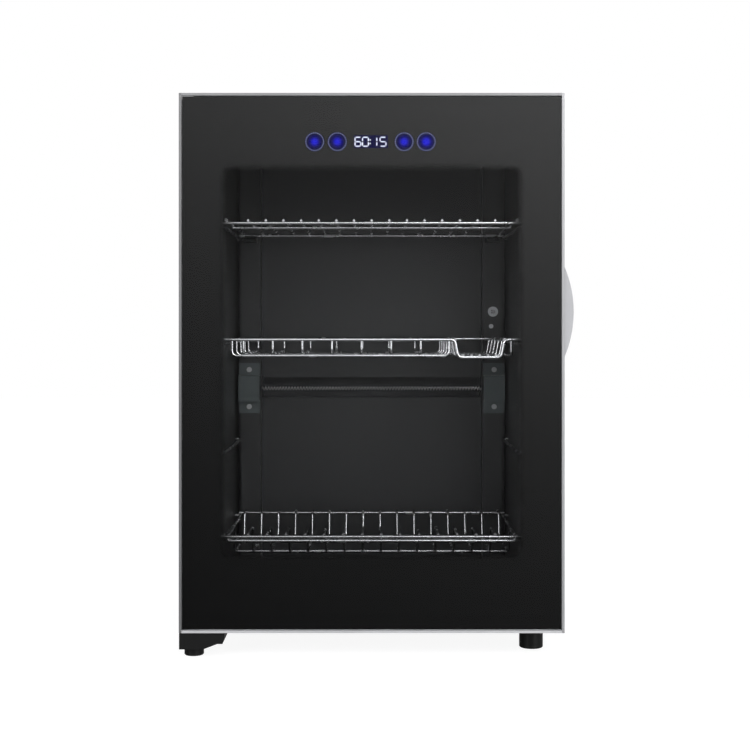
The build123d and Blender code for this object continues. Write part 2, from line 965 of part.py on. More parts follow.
def foot_front_right():
    top = body_bottom + sheet + weld_nut_height
    return levelling_foot(door_half - foot_inset, foot_depth, foot_diameter, foot_pad_height, top)


def rear_feet():
    """Two fixed feet against the base pan."""
    feet = []
    for side in (-1, 1):
        x = side * (door_half - foot_inset)
        depth = body_back - rear_foot_margin
        feet.append(rod((x, depth, 0), (x, depth, body_bottom), foot_diameter).solid())
    return Compound(feet)


# Door -----------------------------------------------------------------------------------------

def hinge_recess():
    """Space in the door's top corner that the fixed hinge arm sweeps through."""
    return block(
        (-door_half - sheet, hinge_x + hinge_arm_width / 2 + hinge_clearance),
        (film_back, door_thickness + sheet),
        (recess_bottom, door_top + sheet),
    )


def door_frame_side():
    """Right-hand upright profile: outer wall and the ledge that the glass is bonded to."""
    wall = block((door_half - frame_wall, door_half), (0, door_thickness), (door_bottom, door_top))
    ledge = block(
        (door_half - frame_wall - frame_ledge, door_half - frame_wall),
        (film_back, film_back + ledge_thickness),
        (door_bottom + frame_wall, door_top - frame_wall),
    )
    return wall + ledge


def door_frame_left():
    """Left-hand profile with the two corner blocks of the hinge."""
    blocks = [
        block(
            (-door_half + frame_wall, -door_half + frame_wall + hinge_block_width),
            (film_back, panel_front - seat_gap),
            (low, low + hinge_block_length),
        )
        for low in (door_bottom + frame_wall, recess_bottom - hinge_block_length)
    ]
    bore_length = hinge_block_length + frame_wall
    bores = [
        rod((hinge_x, hinge_depth, low), (hinge_x, hinge_depth, low + bore_length), bush_diameter)
        for low in (door_bottom, recess_bottom - bush_length)
    ]
    return mirrored(door_frame_side()) + blocks - bores - hinge_recess()


def door_frame_top():
    inner = door_half - frame_wall
    wall = block((-inner, inner), (0, door_thickness), (door_top - frame_wall, door_top))
    ledge = block(
        (-inner + hinge_block_width + seat_gap, inner - frame_ledge),
        (film_back, film_back + ledge_thickness),
        (door_top - frame_wall - frame_ledge, door_top - frame_wall),
    )
    return wall + ledge - hinge_recess()


def door_frame_bottom():
    inner = door_half - frame_wall
    wall = block((-inner, inner), (0, door_thickness), (door_bottom, door_bottom + frame_wall))
    ledge = block(
        (-inner + hinge_block_width + seat_gap, inner - frame_ledge),
        (film_back, film_back + ledge_thickness),
        (door_bottom + frame_wall, door_bottom + frame_wall + frame_ledge),
    )
    bush_top = (hinge_x, hinge_depth, door_bottom + frame_wall)
    bush = rod((hinge_x, hinge_depth, door_bottom), bush_top, bush_diameter)
    return wall + ledge - bush


def door_glass():
    """Outer pane of toughened glass, set just behind the frame's lip."""
    return block(
        (-glass_half, glass_half),
        (glass_setback, glass_back),
        (door_bottom + frame_wall + seat_gap, door_top - frame_wall - seat_gap),
    )


def door_mask():
    """Black border bonded behind the glass, open at the window, the display and the keys."""
    film = block(
        (-glass_half, glass_half),
        (bond_front, film_back),
        (door_bottom + frame_wall + seat_gap, door_top - frame_wall - seat_gap),
    )
    middle = (window_bottom + window_top) / 2
    outline = RectangleRounded(2 * window_half_width, window_top - window_bottom, window_corner)
    window = Pos(0, bond_front - film_thickness, middle) * extrude(Plane.XZ * outline, -3 * film_thickness)
    display = block(
        (display_place - display_width / 2 - seat_gap, display_place + display_width / 2 + seat_gap),
        (bond_front - film_thickness, film_back + film_thickness),
        (control_height - display_height / 2 - seat_gap, control_height + display_height / 2 + seat_gap),
    )
    keys = [
        rod((x, bond_front - film_thickness, control_height), (x, film_back + film_thickness, control_height),
            key_diameter + 2 * seat_gap)
        for x in key_places
    ]
    return film - window - display - keys


def key_lights():
    """Four light guides behind the touch keys, each a ring round a lit core."""
    guides = []
    for x in key_places:
        front = (x, bond_front, control_height)
        floor = (x, bond_front + key_groove_depth, control_height)
        body = rod(front, (x, board_depth, control_height), key_diameter)
        outer = rod(front, floor, key_groove_diameter)
        core = rod(front, floor, key_core_diameter)
        guides.append((body - (outer - core)).solid())
    return Compound(guides)


def display_module():
    half = display_width / 2
    return block(
        (display_place - half, display_place + half),
        (bond_front, glass_back + display_depth),
        (control_height - display_height / 2, control_height + display_height / 2),
    ) + block(
        (display_place - half / 2, display_place + half / 2),
        (glass_back + display_depth, board_depth),
        (control_height - display_height / 4, control_height + display_height / 4),
    )


def control_board():
    board = block(
        (-board_width / 2, board_width / 2),
        (board_depth, board_depth + board_thickness),
        (board_bottom, board_bottom + board_height),
    )
    chip = block(
        (-board_height / 4, board_height / 4),
        (board_depth + board_thickness, board_depth + 3 * board_thickness),
        (board_bottom + board_height / 4, board_bottom + board_height * 3 / 4),
    )
    return board + chip


def door_inner_panel():
    """Moulded rear face of the door with a frame round the inner pane and the board's pegs."""
    half = door_half - frame_wall - seat_gap
    plate = block(
        (-half, half),
        (panel_front, door_thickness),
        (door_bottom + frame_wall + seat_gap, door_top - frame_wall - seat_gap),
    )
    opening = block(
        (-pane_half + pane_overlap, pane_half - pane_overlap),
        (panel_front - panel_thickness, door_thickness + panel_thickness),
        (pane_bottom + pane_overlap, pane_top - pane_overlap),
    )
    collar = block(
        (-pane_half - collar_rim, pane_half + collar_rim),
        (film_back + seat_gap, panel_front),
        (pane_bottom - collar_rim, pane_top + collar_rim),
    ) - block(
        (-pane_half - seat_gap, pane_half + seat_gap),
        (film_back, panel_front),
        (pane_bottom - seat_gap, pane_top + seat_gap),
    )
    board_half = board_width / 2 - board_peg_inset
    peg_heights = (board_bottom + board_peg_inset, board_bottom + board_height - board_peg_inset)
    pegs = [
        rod((x, board_depth + board_thickness, z), (x, panel_front, z), board_peg_diameter)
        for x in (-board_half, board_half)
        for z in peg_heights
    ]
    return welded([plate - opening, collar, *pegs]) - hinge_recess()


def door_inner_glass():
    return block(
        (-pane_half, pane_half),
        (panel_front - inner_pane_thickness, panel_front),
        (pane_bottom, pane_top),
    )


def door_gasket():
    """Soft ring on the door's rear face that lands on the face frame round the cavity."""
    half = cavity_half + gasket_side_margin
    low = cavity_floor - gasket_end_margin
    high = cavity_ceiling + gasket_end_margin
    depth = (door_thickness, body_front - seat_gap)
    outer_half = half + gasket_width
    outer = block((-outer_half, outer_half), depth, (low - gasket_width, high + gasket_width))
    inner = block((-half, half), (depth[0] - seat_gap, depth[1] + seat_gap), (low, high))
    return outer - inner


def door_handle():
    """Crescent grip on the door's right edge, open at the back for the fingers."""
    half = handle_length / 2
    low = (door_half, handle_height - half)
    high = (door_half, handle_height + half)
    tip = (door_half + handle_reach, handle_height)
    face = make_face([ThreePointArc(low, tip, high), Line(high, low)])
    inner = offset(face, -handle_wall)
    grip = Pos(0, handle_front, 0) * extrude(Plane.XZ * face, -handle_depth)
    hollow = Pos(0, handle_front + handle_wall, 0) * extrude(Plane.XZ * inner, -handle_depth)
    return grip - hollow


def door_magnet():
    width, depth, height = magnet_size
    return block(
        (switch_place - width / 2, switch_place + width / 2),
        (panel_front - depth, panel_front),
        (switch_height - height / 2, switch_height + height / 2),
    )


# Racks, runners and tray ----------------------------------------------------------------------

def runner_heights():
    """Middle of each runner wire: one bar below the bars that lie on it, and the spare one."""
    drop = bar_wire + seat_gap
    return [
        lower_rack_height - drop,
        spare_runner_height,
        basket_height - drop,
        upper_rack_height - drop,
    ]


def runner(height):
    """Right-hand runner: hooked into the wall behind, its front end turned out and up."""
    wall = cavity_half + runner_wall_bite
    points = [
        (wall, runner_back, height),
        (runner_place, runner_back, height),
        (runner_place, runner_front + runner_joggle, height),
        (runner_tip_place, runner_front, height),
        (runner_tip_place, runner_front, height + runner_tip_rise),
        (wall, runner_front, height + runner_tip_rise),
    ]
    straight = bent_wire(points[:5], bar_wire, runner_bend)
    hook = rod(points[4], points[5], bar_wire)
    elbow = Pos(*points[4]) * Sphere(bar_wire / 2)
    return welded([straight, hook, elbow])


def runners():
    return [runner(height).solid() for height in runner_heights()]


def cross_bar(depth, height, reach):
    return rod((-reach, depth, height), (reach, depth, height), bar_wire)


def upper_rack():
    """Flat grille: a bent frame, three cross bars and the long wires on top."""
    side = upper_rack_half_width
    wires = [
        cross_bar(rack_front, upper_rack_height, rack_reach),
        cross_bar(upper_rack_middle, upper_rack_height, side),
        cross_bar(rack_rear, upper_rack_height, rack_reach),
    ]
    top = upper_rack_height + bar_wire / 2 + cross_wire / 2 - weld_sink
    for index in range(upper_rack_wires):
        x = (index - (upper_rack_wires - 1) / 2) * upper_rack_pitch
        wires.append(rod((x, rack_front - bar_wire / 2, top), (x, rack_rear + bar_wire / 2, top), cross_wire))
    rail = upper_rack_height + bar_wire - weld_sink
    for x in (-side, side):
        wires.append(rod((x, rack_front - bar_wire / 2, rail), (x, rack_rear + bar_wire / 2, rail), bar_wire))
    return welded(wires)


def middle_basket():
    """Shallow basket whose front wire dips where the chopstick trough is."""
    side = basket_half_width
    floor = basket_floor
    floor_end = trough_left - trough_divider_gap
    front_points = [
        (-rack_reach, rack_front, basket_height),
        (trough_left, rack_front, basket_height),
        (trough_left + trough_slope, rack_front, trough_floor),
        (trough_right - trough_slope, rack_front, trough_floor),
        (trough_right, rack_front, basket_height),
        (rack_reach, rack_front, basket_height),
    ]
    wires = [
        bent_wire(front_points, bar_wire, basket_corner),
        cross_bar(rack_rear, basket_height, rack_reach),
    ]
    for x in (-side, side, floor_end):
        wires.append(rod((x, rack_front, basket_height), (x, rack_rear, basket_height), rail_wire))
    for depth in spread(rack_front, rack_rear, basket_bar_count):
        bar_points = [
            (-side, depth, basket_height),
            (-side, depth, floor),
            (floor_end, depth, floor),
            (floor_end, depth, basket_height),
        ]
        wires.append(bent_wire(bar_points, cross_wire, basket_corner))
    top = floor + cross_wire - weld_sink
    long_wires = [(basket_first_wire + index * basket_wire_pitch, top) for index in range(basket_wires)]
    for x, low in long_wires + [(side, floor)]:
        points = [
            (x, rack_front, basket_height),
            (x, rack_front + weld_sink, low),
            (x, rack_rear - weld_sink, low),
            (x, rack_rear, basket_height),
        ]
        wires.append(bent_wire(points, cross_wire, basket_corner))
    return welded(wires)


def chopstick_trough():
    """Narrow cage at the basket's right: dipped cross wires and long wires on its floor."""
    left = trough_left + seat_gap
    first = rack_front + bar_wire / 2 + seat_gap
    last = rack_rear - bar_wire / 2 - seat_gap
    wires = []
    for depth in spread(rack_front + trough_front_gap, rack_rear - trough_back_gap, trough_bar_count):
        dip = [
            (left, depth, basket_height),
            (left + trough_slope, depth, trough_floor),
            (trough_right - trough_slope, depth, trough_floor),
            (trough_right, depth, basket_height),
        ]
        wires.append(bent_wire(dip, cross_wire, basket_corner))
    for x in (left, trough_right):
        wires.append(rod((x, first, basket_height), (x, last, basket_height), bar_wire))
    top = trough_floor + cross_wire - weld_sink
    inset = trough_slope + basket_corner
    for x in spread(left + inset, trough_right - inset, trough_wires):
        wires.append(rod((x, first, top), (x, last, top), cross_wire))
    return welded(wires)


def lower_rack():
    """Plate rack: wires that run level, dip for the plates' rims and rise again behind."""
    level = lower_rack_height + bar_wire / 2 + cross_wire / 2 - weld_sink
    wires = [
        cross_bar(rack_front, lower_rack_height, rack_reach),
        cross_bar(rack_front, lower_rack_height - lower_bar_drop, lower_rack_half_width),
        cross_bar(rack_rear, lower_rack_height, rack_reach),
    ]
    bar_height = dip_floor - cross_wire / 2 - bar_wire / 2 + weld_sink
    for depth in (dip_front + dip_bar_front_gap, dip_back - dip_bar_back_gap):
        wires.append(cross_bar(depth, bar_height, lower_rack_half_width))
    for index in range(lower_rack_wires):
        x = (index - (lower_rack_wires - 1) / 2) * lower_rack_pitch
        points = [
            (x, rack_front - bar_wire / 2, level),
            (x, dip_front, level),
            (x, dip_front + dip_slope, dip_floor),
            (x, dip_back - dip_slope, dip_floor),
            (x, dip_back, level),
            (x, rack_rear + bar_wire / 2, level),
        ]
        wires.append(bent_wire(points, cross_wire, dip_bend))
    for side in (-1, 1):
        x = side * lower_rack_half_width
        link = [(x, rack_front, lower_rack_height - lower_bar_drop), (x, rack_front, lower_rack_height)]
        wires.append(rod(*link, cross_wire))
    return welded(wires)


def drip_tray():
    """Shallow tray on the cavity floor with a rolled front lip."""
    low = cavity_floor + seat_gap
    outer = block((-tray_half_width, tray_half_width), (tray_front, tray_back), (low, low + tray_height))
    inner = block(
        (-tray_half_width + tray_wall, tray_half_width - tray_wall),
        (tray_front + tray_wall, tray_back - tray_wall),
        (low + tray_wall, low + tray_height + tray_wall),
    )
    lip = block(
        (-tray_half_width, tray_half_width),
        (tray_front - tray_lip, tray_front),
        (low + tray_height - tray_wall, low + tray_height),
    )
    return outer - inner + lip


# Export ---------------------------------------------------------------------------------------

def place(shape):
    """Moves a piece so that the origin is the bottom centre of the whole object."""
    depth = body_back + gland_reach
    return shape.moved(Location((-handle_reach / 2, -depth / 2, 0)))


def save(name, shape):
    export_step(place(shape), f"parts/{name}.step")


slot_bottom = heater_height - heater_slot_height / 2
slot_top = heater_height + heater_slot_height / 2

pieces = {
    "base_pan": base_pan(),
    "side_panel_left": mirrored(side_panel()),
    "side_panel_right": side_panel(),
    "top_cover": top_cover(),
    "rear_cover": rear_cover(),
    "rear_cover_screws": rear_cover_screws(),
    "face_frame": face_frame(),
    "insulation_left": mirrored(insulation_pad()),
    "insulation_right": insulation_pad(),
    "liner_left_wall": mirrored(liner_wall()),
    "liner_right_wall": liner_wall(),
    "liner_ceiling": liner_ceiling(),
    "liner_floor": liner_floor(),
    "liner_back_upper": liner_back(slot_top, cavity_ceiling),
    "liner_back_lower": liner_back(cavity_floor, slot_bottom),
    "rear_channel_left": mirrored(rear_channel()),
    "rear_channel_right": right_channel(),
    "rack_clips": Compound([shape.solid() for shape in both_sides(rack_clip())]),
    "ozone_outlet": ozone_outlet(),
    "ozone_generator": ozone_generator(),
    "temperature_sensor": temperature_sensor(),
    "heater_straps": Compound([shape.solid() for shape in both_sides(heater_strap())]),
    "heater_screws": heater_screws(),
    "quartz_tube": quartz_tube(),
    "heater_end_caps": Compound([shape.solid() for shape in both_sides(heater_cap())]),
    "heater_coil": heater_coil(),
    "heater_reflector": heater_reflector(),
    "power_board": power_board(),
    "thermal_cutout": thermal_cutout(),
    "cord_gland": cord_gland(),
    "door_switch": door_switch(),
    "upper_hinge_bracket": upper_hinge_bracket(),
    "lower_hinge_bracket": lower_hinge_bracket(),
    "hinge_pins": hinge_pins(),
    "hinge_screws": hinge_screws(),
    "foot_front_left": foot_front_left(),
    "foot_front_right": foot_front_right(),
    "rear_feet": rear_feet(),
    "runners_left": Compound([mirrored(wire).solid() for wire in runners()]),
    "runners_right": Compound(runners()),
    "door_frame_left": door_frame_left(),
    "door_frame_right": door_frame_side(),
    "door_frame_top": door_frame_top(),
    "door_frame_bottom": door_frame_bottom(),
    "door_glass": door_glass(),
    "door_mask": door_mask(),
    "key_lights": key_lights(),
    "display_module": display_module(),
    "control_board": control_board(),
    "door_inner_panel": door_inner_panel(),
    "door_inner_glass": door_inner_glass(),
    "door_gasket": door_gasket(),
    "door_handle": door_handle(),
    "door_magnet": door_magnet(),
    "hinge_bushes": hinge_bushes(),
    "upper_rack": upper_rack(),
    "middle_basket": middle_basket(),
    "chopstick_trough": chopstick_trough(),
    "lower_rack": lower_rack(),
    "drip_tray": drip_tray(),
}

for piece_name, piece_shape in pieces.items():
    save(piece_name, piece_shape)

print_coil_gap()
print(f"{len(pieces)} nodes")
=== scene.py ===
from math import cos, pi, sin

import bmesh
import bpy
from mathutils import Matrix, Vector

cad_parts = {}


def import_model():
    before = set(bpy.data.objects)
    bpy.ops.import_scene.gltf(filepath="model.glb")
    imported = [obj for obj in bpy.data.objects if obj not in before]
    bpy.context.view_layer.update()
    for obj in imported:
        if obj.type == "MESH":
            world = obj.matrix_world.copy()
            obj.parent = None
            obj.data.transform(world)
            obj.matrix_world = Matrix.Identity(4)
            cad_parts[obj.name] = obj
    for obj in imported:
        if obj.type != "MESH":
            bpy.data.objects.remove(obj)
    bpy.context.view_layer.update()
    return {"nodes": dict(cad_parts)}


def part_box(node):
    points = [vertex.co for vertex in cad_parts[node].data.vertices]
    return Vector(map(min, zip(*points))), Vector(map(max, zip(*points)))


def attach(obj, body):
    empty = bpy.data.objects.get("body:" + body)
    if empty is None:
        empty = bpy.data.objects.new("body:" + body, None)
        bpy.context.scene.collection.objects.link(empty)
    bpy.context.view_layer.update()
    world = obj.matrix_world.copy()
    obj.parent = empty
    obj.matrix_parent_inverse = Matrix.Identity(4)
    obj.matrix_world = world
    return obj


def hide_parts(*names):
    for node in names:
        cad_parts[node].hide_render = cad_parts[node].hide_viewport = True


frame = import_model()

# ------------------------------------------------------------------------------------------------
# Outer body: folded steel covers, base pan and front frame round the cavity, closed at the rear by
# a screwed cover. They have a fine-grained black powder coat. The classes that all the finishes
# use are made here.
# ------------------------------------------------------------------------------------------------


class Socket:
    """A node's socket that takes part in sums, as plain numbers do."""

    def __init__(self, nodes, socket):
        self.nodes = nodes
        self.socket = socket

    def maths(self, operation, *others):
        return self.nodes.node("Math", {"operation": operation}, dict(enumerate((self, *others))))

    def __add__(self, other):
        return self.maths("ADD", other)

    def __sub__(self, other):
        return self.maths("SUBTRACT", other)

    def __rsub__(self, other):
        return self.maths("MULTIPLY", -1.0).maths("ADD", other)

    def __mul__(self, other):
        return self.maths("MULTIPLY", other)

    __radd__ = __add__
    __rmul__ = __mul__

    def smaller(self, other):
        return self.maths("MINIMUM", other)

    def larger(self, other):
        return self.maths("MAXIMUM", other)

    def clamped(self):
        return self.larger(0.0).smaller(1.0)


class Nodes:
    """A node tree whose nodes take plain values and the sockets of other nodes alike."""

    def __init__(self, tree):
        self.tree = tree
        self.tree.nodes.clear()

    def feed(self, socket, value):
        if isinstance(value, Socket):
            self.tree.links.new(value.socket, socket)
        else:
            socket.default_value = value

    def node(self, kind, settings=None, inputs=None, output=0):
        node = self.tree.nodes.new("ShaderNode" + kind)
        for name, value in (settings or {}).items():
            setattr(node, name, value)
        for name, value in (inputs or {}).items():
            self.feed(node.inputs[name], value)
        return Socket(self, node.outputs[output])

    def axes(self, place):
        split = self.tree.nodes.new("ShaderNodeSeparateXYZ")
        self.feed(split.inputs[0], place)
        return [Socket(self, output) for output in split.outputs]

    def mixed(self, factor, first, second):
        """The first shader where the factor is 0, and the second where it is 1."""
        return self.node("MixShader", inputs={"Fac": factor, 1: first, 2: second})


class Shader(Nodes):
    """One material's nodes, with its output and a principled shader ready."""

    def __init__(self, name):
        self.material = bpy.data.materials.new(name)
        self.material.use_nodes = True
        super().__init__(self.material.node_tree)
        self.output = self.tree.nodes.new("ShaderNodeOutputMaterial")
        self.principled = self.tree.nodes.new("ShaderNodeBsdfPrincipled")
        self.surface = Socket(self, self.principled.outputs[0])
        self.show(self.surface)
        self.place = self.node("TexCoord", output="Object")

    def show(self, surface):
        self.feed(self.output.inputs["Surface"], surface)

    def set(self, **inputs):
        for name, value in inputs.items():
            self.feed(self.principled.inputs[name.replace("_", " ")], value)

    def noise(self, scale, detail, stretch=(1.0, 1.0, 1.0)):
        place = self.node("Mapping", inputs={"Vector": self.place, "Scale": stretch})
        return self.node("TexNoise", inputs={"Vector": place, "Scale": scale, "Detail": detail})

    def ramp(self, value, low, high):
        """0 at the low value and 1 at the high one, with a soft start and end."""
        return self.node(
            "MapRange",
            settings={"interpolation_type": "SMOOTHSTEP"},
            inputs={"Value": value, "From Min": low, "From Max": high, "To Min": 0.0, "To Max": 1.0},
        )

    def tint(self, value, dark, light):
        """A colour between two. Sockets 0, 6 and 7 are the factor and the two colours."""
        return self.node(
            "Mix",
            settings={"data_type": "RGBA"},
            inputs={0: value, 6: (*dark, 1.0), 7: (*light, 1.0)},
            output=2,
        )

    def bump(self, height, strength, distance):
        return self.node("Bump", inputs={"Height": height, "Strength": strength, "Distance": distance})


def grey(value):
    """A grey with a trace of blue."""
    return (value, value, value * 1.02)


def coated(name, dark, light, rough, grain, bump, metallic=0.0, gloss=0.5):
    """Paint, plating or moulding: clouded colour, uneven gloss and a fine grain."""
    cloud_in_colour, grain_in_colour = 0.6, 0.4
    cloud_in_gloss, grain_in_gloss = 0.12, 0.1
    shader = Shader(name)
    cloud = shader.noise(scale=9.0, detail=4.0)
    fine = shader.noise(scale=grain, detail=2.0)
    shader.set(
        Base_Color=shader.tint(cloud * cloud_in_colour + fine * grain_in_colour, dark, light),
        Roughness=rough + (cloud - 0.5) * cloud_in_gloss + (fine - 0.5) * grain_in_gloss,
        Metallic=metallic,
        Specular_IOR_Level=gloss,
        Normal=shader.bump(fine, strength=bump, distance=0.0004),
    )
    return shader.material


def dress(material, *names):
    """Gives CAD nodes their material."""
    for name in names:
        mesh = frame["nodes"][name].data
        mesh.materials.clear()
        mesh.materials.append(material)


shell_paint = coated(
    "shell_paint", dark=grey(0.013), light=grey(0.022), rough=0.58, grain=1400.0, bump=0.3, gloss=0.3,
)
dress(
    shell_paint,
    "base_pan", "side_panel_left", "side_panel_right", "top_cover", "rear_cover", "face_frame",
)

# ------------------------------------------------------------------------------------------------
# Insulation: pads of pale, rough fibre felt, held between the cavity's side walls and the
# outer panels.
# ------------------------------------------------------------------------------------------------

felt = coated(
    "felt", dark=(0.45, 0.43, 0.38), light=(0.62, 0.6, 0.55), rough=0.95, grain=300.0, bump=0.9,
)
dress(felt, "insulation_left", "insulation_right")

# ------------------------------------------------------------------------------------------------
# Cavity: thin steel panels, the two folded strips that stand on the back wall, and the drip tray
# on the floor. All have a dark semi-gloss enamel that takes a soft sheen from the front.
# ------------------------------------------------------------------------------------------------

edge_angle = 0.6


def soften(*names, width, segments):
    """Breaks the sharp edges of CAD nodes with a small bevel."""
    for name in names:
        bevel = frame["nodes"][name].modifiers.new("soft edges", "BEVEL")
        bevel.width = width
        bevel.segments = segments
        bevel.limit_method = "ANGLE"
        bevel.angle_limit = edge_angle
        bevel.use_clamp_overlap = True


cavity_enamel = coated(
    "cavity_enamel", dark=grey(0.015), light=grey(0.024), rough=0.36, grain=160.0, bump=0.008,
)
dress(
    cavity_enamel,
    "liner_left_wall", "liner_right_wall", "liner_ceiling", "liner_floor", "liner_back_upper",
    "liner_back_lower", "rear_channel_left", "rear_channel_right", "drip_tray",
)
soften("drip_tray", width=0.0004, segments=2)
soften("rear_channel_left", "rear_channel_right", width=0.0006, segments=2)

# ------------------------------------------------------------------------------------------------
# Screws, pins and brackets: steel with bright zinc plate and a faint brushed grain. The sensor on
# the right strip and the door's magnet have the same finish.
# ------------------------------------------------------------------------------------------------


def plated(name, dark, light, rough):
    """Bare or plated metal, drawn out along Z."""
    brushed_in_gloss = 0.14
    shader = Shader(name)
    brushed = shader.noise(scale=700.0, detail=3.0, stretch=(1.0, 1.0, 0.06))
    cloud = shader.noise(scale=25.0, detail=2.0)
    shader.set(
        Base_Color=shader.tint(cloud, dark, light),
        Roughness=rough + (brushed - 0.5) * brushed_in_gloss,
        Metallic=1.0,
        Normal=shader.bump(brushed, strength=0.12, distance=0.0002),
    )
    return shader.material


dress(
    plated("zinc_plate", dark=grey(0.5), light=grey(0.66), rough=0.34),
    "rear_cover_screws", "hinge_screws", "hinge_pins", "upper_hinge_bracket",
    "temperature_sensor", "door_magnet",
)

# ------------------------------------------------------------------------------------------------
# Heater: a clear quartz tube with its coil, held by white ceramic caps under two enamelled straps.
# Dark cross-head screws fix the straps to the strips. A steel tray behind the back wall's slot throws
# the heat forward; its near-black plate is painted shade for the dark slot.
# ------------------------------------------------------------------------------------------------


def pane(name, tint, index, rough):
    """Clear sheet or tube: what is behind it shows through, with the mirror of its front face."""
    cloud_in_gloss = 0.03
    shader = Shader(name)
    cloud = shader.noise(scale=14.0, detail=2.0)
    shader.set(Base_Color=(1.0, 1.0, 1.0, 1.0), Metallic=1.0, Roughness=rough + cloud * cloud_in_gloss)
    clear = shader.node("BsdfTransparent", inputs={"Color": (*tint, 1.0)})
    edge = shader.node("Fresnel", inputs={"IOR": index})
    inside = shader.node("NewGeometry", output="Backfacing")
    shader.show(shader.mixed(edge * (1.0 - inside), clear, shader.surface))
    return shader.material


strap_enamel = coated(
    "strap_enamel", dark=(0.05, 0.06, 0.06), light=(0.075, 0.088, 0.088), rough=0.36, grain=160.0, bump=0.01,
)
dress(strap_enamel, "heater_straps")
soften("heater_straps", width=0.0004, segments=2)
# The reflector's near-black plate is painted shade, so the slot behind the back wall reads dark.
dress(plated("reflector_painted_shade", dark=grey(0.03), light=grey(0.06), rough=0.5), "heater_reflector")
dress(plated("blackened_screw", dark=grey(0.36), light=grey(0.5), rough=0.36), "heater_screws")
dress(pane("quartz", tint=(0.97, 0.975, 0.98), index=1.46, rough=0.04), "quartz_tube")
dress(
    plated("resistance_wire", dark=(0.4, 0.38, 0.36), light=(0.55, 0.52, 0.5), rough=0.4),
    "heater_coil",
)
ceramic = coated(
    "ceramic", dark=(0.5, 0.49, 0.46), light=(0.62, 0.61, 0.58), rough=0.6, grain=900.0, bump=0.3,
)
dress(ceramic, "heater_end_caps")

# ------------------------------------------------------------------------------------------------
# Wire goods: racks, basket, trough and side runners, welded from steel wire and chrome plated.
# The plate of the runners and of the lower rack looks darker than that of the upper two.
# ------------------------------------------------------------------------------------------------


def chromed(name, dark, light):
    """Bright plate over drawn wire, a little clouded."""
    cloud_in_gloss = 0.12
    shader = Shader(name)
    cloud = shader.noise(scale=60.0, detail=3.0)
    shader.set(
        Base_Color=shader.tint(cloud, grey(dark), grey(light)),
        Roughness=0.2 + cloud * cloud_in_gloss,
        Metallic=1.0,
        Normal=shader.bump(cloud, strength=0.05, distance=0.0002),
    )
    return shader.material


dress(chromed("chrome_plate", dark=0.6, light=0.72), "upper_rack", "middle_basket", "chopstick_trough")
# The lower rack and the runners get a darker plate than the upper two.
dress(chromed("darker_chrome_plate", dark=0.3, light=0.4), "lower_rack", "runners_left", "runners_right")

# ------------------------------------------------------------------------------------------------
# Mouldings: black plastic feet, hinge block and bushes, clips, gland, door liner and the cases of
# the switch, the ozone generator and the cut-out. The small outlet on the right strip is light grey.
# ------------------------------------------------------------------------------------------------

black_moulding = coated(
    "black_moulding", dark=grey(0.004), light=grey(0.008), rough=0.4, grain=1100.0, bump=0.3, gloss=0.25,
)
dress(
    black_moulding,
    "rear_feet", "foot_front_left", "foot_front_right", "lower_hinge_bracket", "hinge_bushes",
    "cord_gland", "door_inner_panel", "rack_clips", "ozone_generator", "door_switch", "thermal_cutout",
)
soften("lower_hinge_bracket", width=0.0012, segments=3)
soften("rack_clips", "cord_gland", width=0.0006, segments=2)
grey_moulding = coated(
    "grey_moulding", dark=grey(0.42), light=grey(0.5), rough=0.5, grain=900.0, bump=0.2,
)
dress(grey_moulding, "ozone_outlet")

# ------------------------------------------------------------------------------------------------
# Circuit boards: sheets under a green solder lacquer. One is in the door behind the keys, and one
# stands on pegs behind the lower back panel.
# ------------------------------------------------------------------------------------------------

board_green = coated(
    "board_green", dark=(0.01, 0.07, 0.03), light=(0.02, 0.12, 0.05), rough=0.4, grain=600.0, bump=0.2,
)
dress(board_green, "control_board", "power_board")

# ------------------------------------------------------------------------------------------------
# Door: toughened glass in a thin satin silver frame of four profiles, a second pane in the moulded
# liner, and a rubber gasket that seals against the front frame.
# ------------------------------------------------------------------------------------------------

# The same satin silver on all four profiles. Each side's grey is painted light and shade: left and top
# darker, right lighter, bottom near white.
frame_painted_light_tones = {"left": 0.17, "top": 0.22, "right": 0.34, "bottom": 0.6}
frame_light = 1.2
glass_tint = (0.985, 0.988, 0.99)

for side, tone in frame_painted_light_tones.items():
    silver = coated(
        "satin_silver_painted_light_" + side,
        dark=grey(tone), light=grey(tone * frame_light), rough=0.42, grain=900.0, bump=0.12, metallic=0.55,
    )
    dress(silver, "door_frame_" + side)
soften("door_frame_right", "door_frame_bottom", width=0.0004, segments=2)
dress(pane("door_glass", tint=glass_tint, index=1.24, rough=0.01), "door_glass")
dress(pane("inner_pane", tint=glass_tint, index=1.06, rough=0.03), "door_inner_glass")
seal_rubber = coated(
    "seal_rubber", dark=grey(0.02), light=grey(0.035), rough=0.6, grain=700.0, bump=0.3,
)
dress(seal_rubber, "door_gasket")

# ------------------------------------------------------------------------------------------------
# Print: a black ink film on the back of the door glass that frames the window and fades out at its
# rounded edge. It is a plate with an open middle, so only its faded rim lies over the window.
# ------------------------------------------------------------------------------------------------

mask_low, mask_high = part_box("door_mask")
door_middle = (mask_low[0] + mask_high[0]) / 2
window_half = 0.178
window_bottom, window_top = 0.115, 0.578
window_corner = 0.014
fade_inside, fade_outside = 0.009, 0.003
corner_steps = 10


def finished(name, mesh):
    """Turns a bmesh into an object of the scene, with its faces outwards."""
    data = bpy.data.meshes.new(name)
    bmesh.ops.recalc_face_normals(mesh, faces=mesh.faces)
    mesh.to_mesh(data)
    mesh.free()
    made = bpy.data.objects.new(name, data)
    bpy.context.scene.collection.objects.link(made)
    return made


def thicken(mesh, faces, depth):
    """Draws flat faces out along Y into a thin plate."""
    made = bmesh.ops.extrude_face_region(mesh, geom=faces)
    moved = [part for part in made["geom"] if isinstance(part, bmesh.types.BMVert)]
    bmesh.ops.translate(mesh, verts=moved, vec=(0.0, depth, 0.0))


